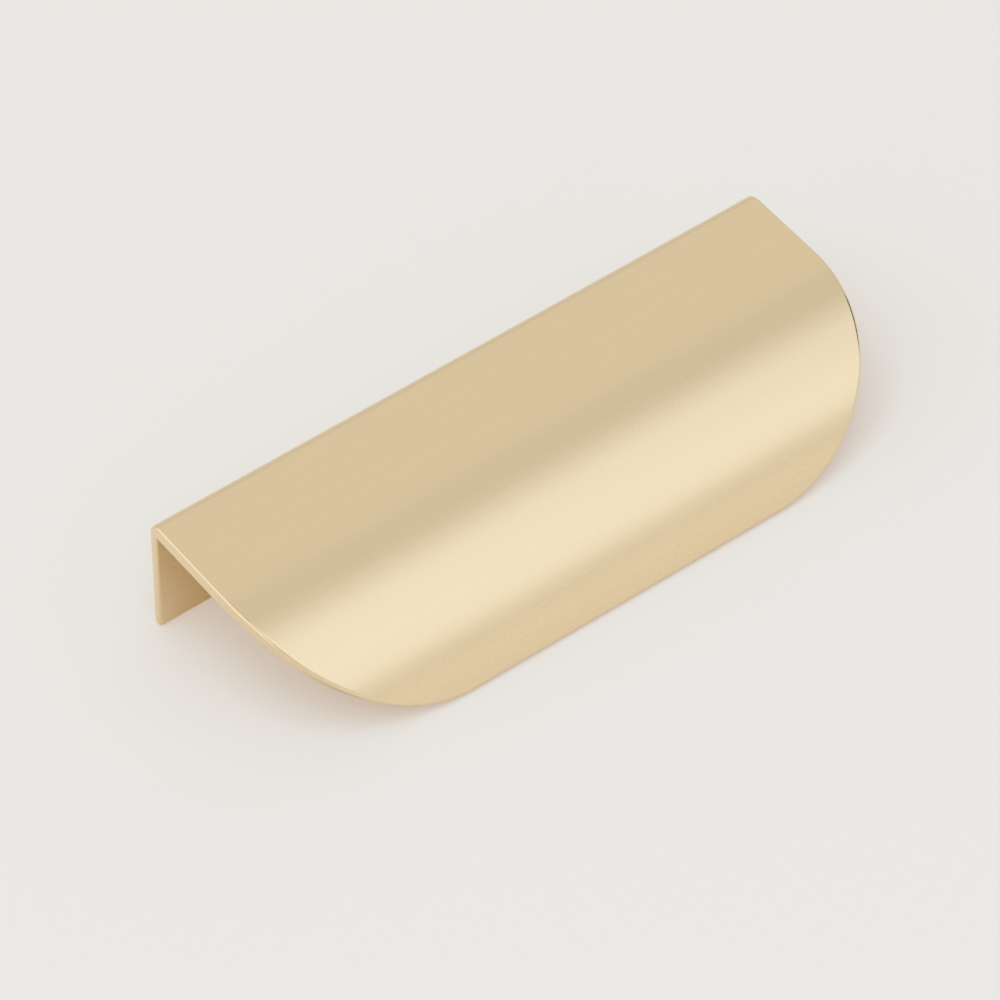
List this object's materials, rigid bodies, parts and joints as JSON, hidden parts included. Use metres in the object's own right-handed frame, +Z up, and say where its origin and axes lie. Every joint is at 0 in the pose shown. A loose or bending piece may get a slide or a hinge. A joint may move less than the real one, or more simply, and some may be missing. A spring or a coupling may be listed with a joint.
{
  "type": "cabinet lip pull",
  "caption": "Lip pull for a drawer or cabinet door: a flat top plate that curls down into a lip with wide rounded corners, and a thin screw flange behind it.",
  "frame": {"origin": "midway between the two screw holes, on the face of the flange that meets the drawer or door front", "axes": "+X along the pull, +Y out of the back of the flange, so -Y points at the user, +Z up out of the top of the plate"},
  "size_m": [0.12, 0.0457, 0.025],
  "materials": {
    "satin_brass": "fine satin brush along the length"
  },
  "bodies": {
    "root": {"lip_pull": "satin_brass"}
  },
  "joints": []
}
